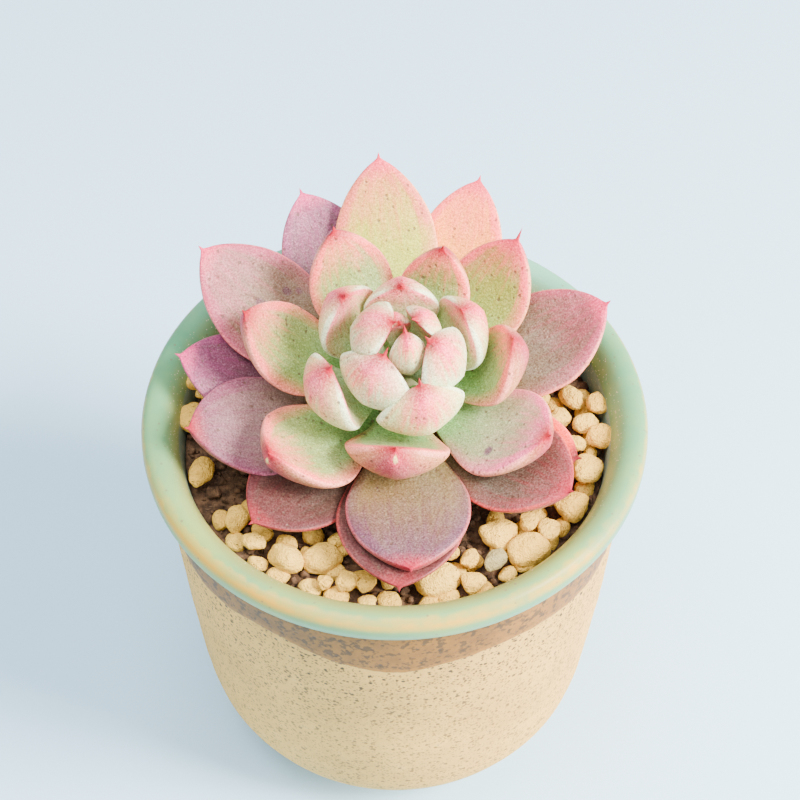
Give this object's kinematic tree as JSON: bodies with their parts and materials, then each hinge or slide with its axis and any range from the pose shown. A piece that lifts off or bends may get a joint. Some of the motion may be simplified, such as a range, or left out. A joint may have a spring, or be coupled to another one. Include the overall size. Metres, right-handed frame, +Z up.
{
  "type": "potted echeveria",
  "caption": "Small glazed round pot of soil topped with pale grit, with a leaning open rosette of fleshy pointed succulent leaves on a short stem.",
  "frame": {"origin": "the middle of the pot's foot, on the surface that the pot stands on", "axes": "+Z up the pot's axis, -Y towards the viewer of the picture, +X to the viewer's right"},
  "size_m": [0.09, 0.09, 0.1123],
  "materials": {
    "clay": "satin",
    "soil": "matte",
    "pale_grit": "matte",
    "grey_stone": "matte",
    "stem_skin": "matte",
    "bud_skin": "matte",
    "inner_skin": "matte",
    "upper_skin": "matte",
    "middle_skin": "matte",
    "outer_skin": "matte",
    "lowest_skin": "matte"
  },
  "bodies": {
    "root": {"pot": "clay", "soil": "soil", "grit": "pale_grit", "loose_stone": "pale_grit", "grey_stone": "grey_stone", "stem": "stem_skin", "bud_leaf_1": "bud_skin", "bud_leaf_2": "bud_skin", "bud_leaf_3": "bud_skin", "inner_leaf_1": "inner_skin", "inner_leaf_2": "inner_skin", "inner_leaf_3": "inner_skin", "inner_leaf_4": "inner_skin", "upper_leaf_1": "upper_skin", "upper_leaf_2": "upper_skin", "upper_leaf_3": "upper_skin", "upper_leaf_4": "upper_skin", "middle_leaf_1": "middle_skin", "middle_leaf_2": "middle_skin", "middle_leaf_3": "middle_skin", "middle_leaf_4": "middle_skin", "middle_leaf_5": "middle_skin", "middle_leaf_6": "middle_skin", "middle_leaf_7": "middle_skin", "outer_leaf_1": "outer_skin", "outer_leaf_2": "outer_skin", "outer_leaf_3": "outer_skin", "outer_leaf_4": "outer_skin", "outer_leaf_5": "outer_skin", "outer_leaf_6": "outer_skin", "outer_leaf_7": "outer_skin", "lowest_leaf_1": "lowest_skin", "lowest_leaf_2": "lowest_skin", "lowest_leaf_3": "lowest_skin", "lowest_leaf_4": "lowest_skin", "lowest_leaf_5": "lowest_skin", "lowest_leaf_6": "lowest_skin"}
  },
  "joints": []
}
